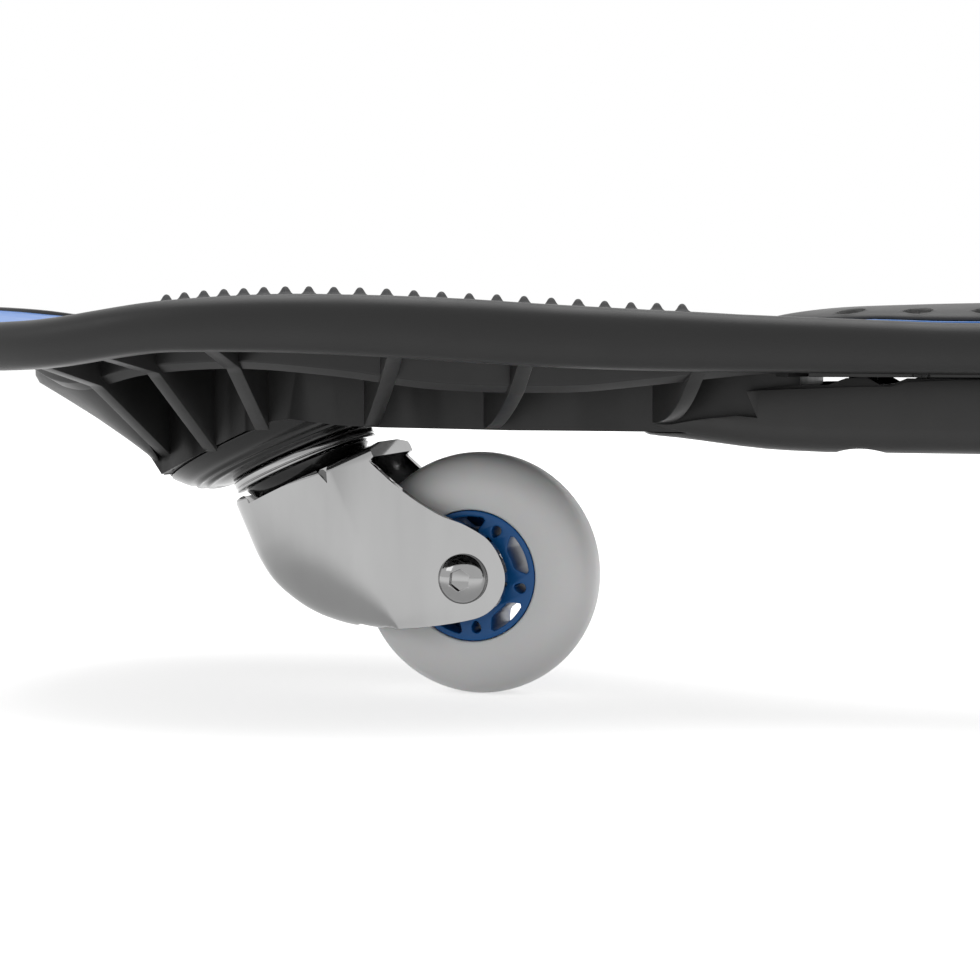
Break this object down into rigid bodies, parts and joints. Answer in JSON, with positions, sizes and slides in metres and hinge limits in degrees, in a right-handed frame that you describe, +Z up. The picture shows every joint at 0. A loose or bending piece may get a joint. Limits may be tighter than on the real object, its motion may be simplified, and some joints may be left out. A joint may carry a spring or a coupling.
{
  "type": "caster board",
  "caption": "Caster board: two foot platforms joined at the waist by a sprung torsion bar, each riding on one inclined swivel caster.",
  "frame": {"origin": "on the ground under the middle of the board, at the waist between the two halves", "axes": "+X towards the tail, +Z up from the ground, +Y towards the side away from the axle bolt heads"},
  "size_m": [0.864, 0.229, 0.1262],
  "materials": {
    "black_plastic": "moulded satin black",
    "grey_plastic": "moulded fine-textured dark grey",
    "blue_plastic": "moulded satin blue",
    "grip_rubber": "matte studded",
    "chrome": "polished chrome plate",
    "steel": "zinc plated",
    "urethane": "smooth cast polyurethane",
    "hub_plastic": "moulded glossy deep blue"
  },
  "bodies": {
    "front_deck": {"front_frame": "black_plastic", "front_top_panel": "blue_plastic", "front_grip_pad": "grip_rubber", "front_neck_cover": "grey_plastic", "front_torsion_housing": "grey_plastic", "front_housing_screw_1": "steel", "front_housing_screw_2": "steel", "front_bar_clamp": "steel", "front_bar_bush": "black_plastic", "front_seat_plate": "black_plastic", "front_seat_screw_1": "steel", "front_seat_screw_2": "steel", "front_seat_screw_3": "steel", "front_seat_screw_4": "steel", "front_upper_race": "steel", "front_kingpin": "steel", "front_kingpin_nut": "steel", "torsion_bar": "steel"},
    "front_fork": {"front_race_cover": "chrome", "front_lower_race": "steel", "front_fork": "chrome", "front_axle_bolt": "chrome", "front_axle_nut": "steel", "front_axle_spacer_left": "steel", "front_axle_spacer_right": "steel"},
    "front_wheel": {"front_bearing_left": "steel", "front_bearing_right": "steel", "front_bearing_spacer": "steel", "front_hub": "hub_plastic", "front_tyre": "urethane"},
    "rear_deck": {"rear_frame": "black_plastic", "rear_top_panel": "blue_plastic", "rear_grip_pad": "grip_rubber", "rear_neck_cover": "grey_plastic", "rear_torsion_housing": "grey_plastic", "rear_housing_screw_1": "steel", "rear_housing_screw_2": "steel", "rear_bar_clamp": "steel", "rear_bar_bush": "black_plastic", "rear_seat_plate": "black_plastic", "rear_seat_screw_1": "steel", "rear_seat_screw_2": "steel", "rear_seat_screw_3": "steel", "rear_seat_screw_4": "steel", "rear_upper_race": "steel", "rear_kingpin": "steel", "rear_kingpin_nut": "steel"},
    "rear_fork": {"rear_race_cover": "chrome", "rear_lower_race": "steel", "rear_fork": "chrome", "rear_axle_bolt": "chrome", "rear_axle_nut": "steel", "rear_axle_spacer_left": "steel", "rear_axle_spacer_right": "steel"},
    "rear_wheel": {"rear_bearing_left": "steel", "rear_bearing_right": "steel", "rear_bearing_spacer": "steel", "rear_hub": "hub_plastic", "rear_tyre": "urethane"}
  },
  "joints": [
    {"name": "deck_twist", "type": "hinge", "parent": "front_deck", "child": "rear_deck", "pos_m": [0, 0, 0.092], "axis": [1, 0, 0], "range_deg": [-25, 25], "stiffness_Nm_per_rad": 40},
    {"name": "front_swivel", "type": "hinge", "parent": "front_deck", "child": "front_fork", "pos_m": [-0.3057, 0, 0.0725], "axis": [-0.4067, 0, 0.9136], "continuous": true},
    {"name": "front_roll", "type": "hinge", "parent": "front_fork", "child": "front_wheel", "pos_m": [-0.247, 0, 0.038], "axis": [0, 1, 0], "continuous": true},
    {"name": "rear_swivel", "type": "hinge", "parent": "rear_deck", "child": "rear_fork", "pos_m": [0.2413, 0, 0.0725], "axis": [-0.4067, 0, 0.9136], "continuous": true},
    {"name": "rear_roll", "type": "hinge", "parent": "rear_fork", "child": "rear_wheel", "pos_m": [0.3, 0, 0.038], "axis": [0, 1, 0], "continuous": true}
  ]
}
